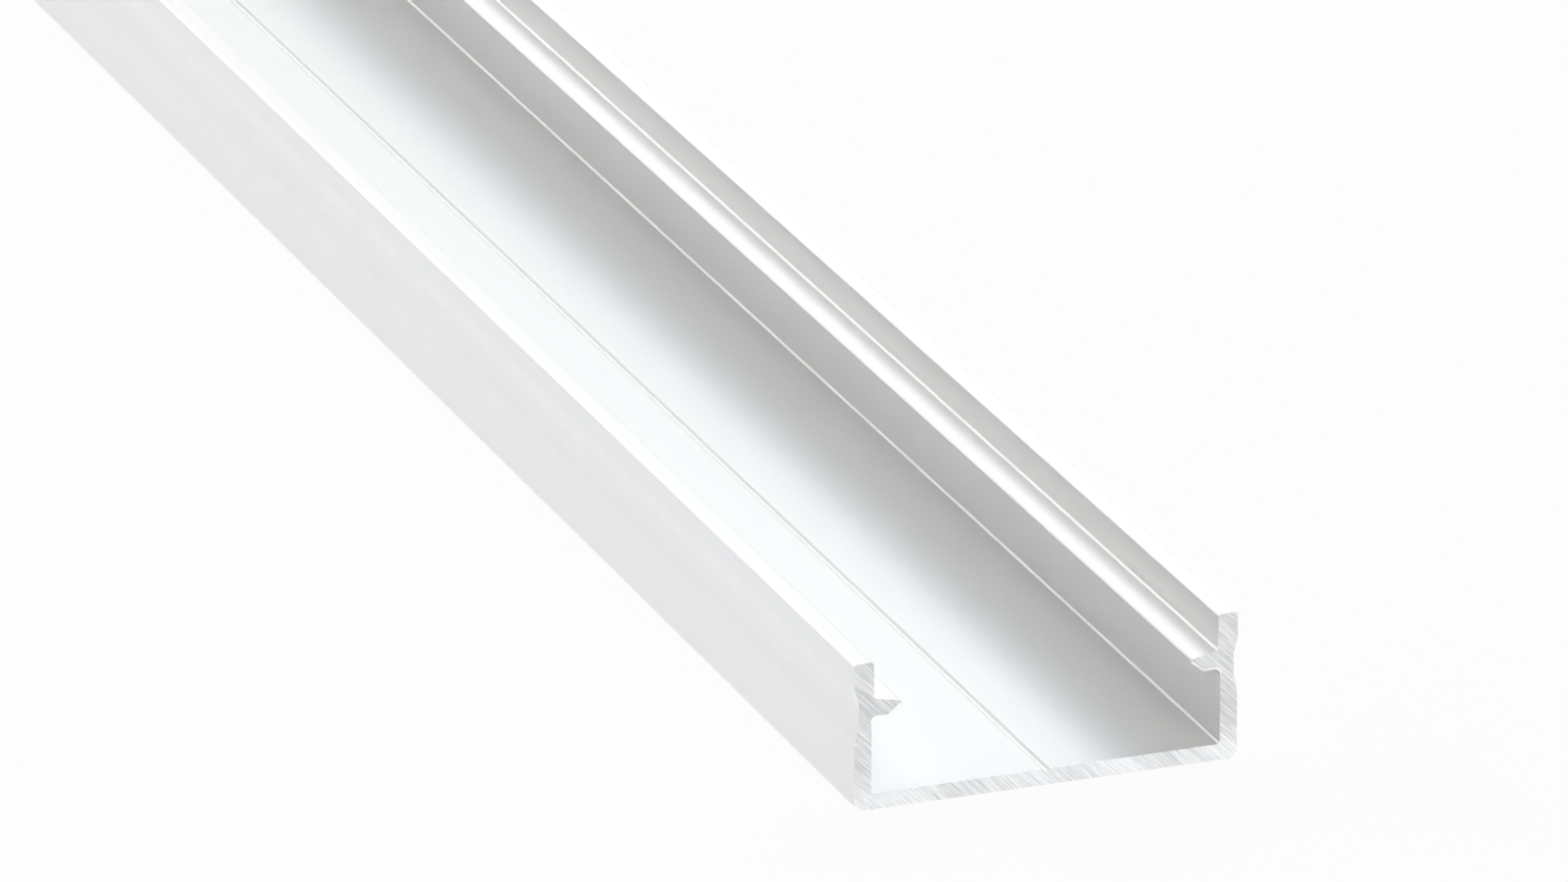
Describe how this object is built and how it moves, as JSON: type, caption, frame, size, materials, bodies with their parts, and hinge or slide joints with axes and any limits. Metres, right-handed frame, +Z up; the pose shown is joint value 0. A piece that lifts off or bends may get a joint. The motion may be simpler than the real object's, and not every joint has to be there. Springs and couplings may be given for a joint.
{
  "type": "surface led profile",
  "caption": "Straight white aluminium channel for LED strip, with hooked lips for a snap-in cover, a drill guide line along its floor and clip recesses outside.",
  "frame": {"origin": "bottom centre: the middle of the flat mounting face", "axes": "+X across the profile, +Y along it, +Z up from the mounting face to the open side"},
  "size_m": [0.03, 1, 0.0115],
  "materials": {
    "white_powder_coat": "semi-gloss white powder coat on extruded aluminium, with bare sawn ends"
  },
  "bodies": {
    "root": {"profile": "white_powder_coat"}
  },
  "joints": []
}
